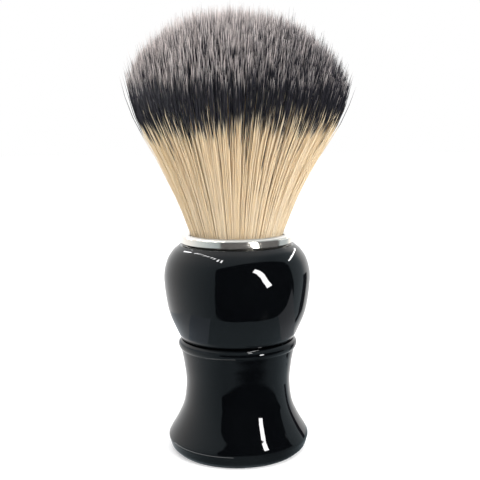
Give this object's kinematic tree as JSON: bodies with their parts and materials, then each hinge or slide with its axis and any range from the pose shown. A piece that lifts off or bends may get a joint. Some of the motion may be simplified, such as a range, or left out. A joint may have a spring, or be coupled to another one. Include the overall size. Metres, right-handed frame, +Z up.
{
  "type": "shaving brush",
  "caption": "Shaving brush with a turned gloss handle, waisted below a round grip, a chromed collar and a flared, banded fibre knot that bends on its root.",
  "frame": {"origin": "centre of the foot's flat underside", "axes": "+Z up the brush along its turning axis, from the foot to the knot's tip; +X is the direction the modelled bend leans to at positive angles"},
  "size_m": [0.0566, 0.0566, 0.1095],
  "materials": {
    "black_resin": "gloss",
    "chrome": "polished",
    "black_plastic": "matte",
    "ballast_steel": "satin",
    "epoxy": "gloss",
    "cup_plastic": "satin",
    "waxed_thread": "matte",
    "cream_fibre": "satin",
    "banded_fibre": "satin"
  },
  "bodies": {
    "handle": {"handle_foot": "black_resin", "handle_bulb": "black_resin", "collar_ring": "chrome", "base_disc": "black_plastic", "ballast_weight": "ballast_steel", "glue_bed": "epoxy", "knot_cup": "cup_plastic", "root_plug": "epoxy", "binding_thread": "waxed_thread", "knot_root": "cream_fibre"},
    "knot": {"knot_fan": "banded_fibre"}
  },
  "joints": [
    {"name": "knot_bend", "type": "hinge", "parent": "handle", "child": "knot", "pos_m": [0, 0, 0.067], "axis": [0, 1, 0], "range_deg": [-30, 30], "stiffness_Nm_per_rad": 0.2}
  ]
}
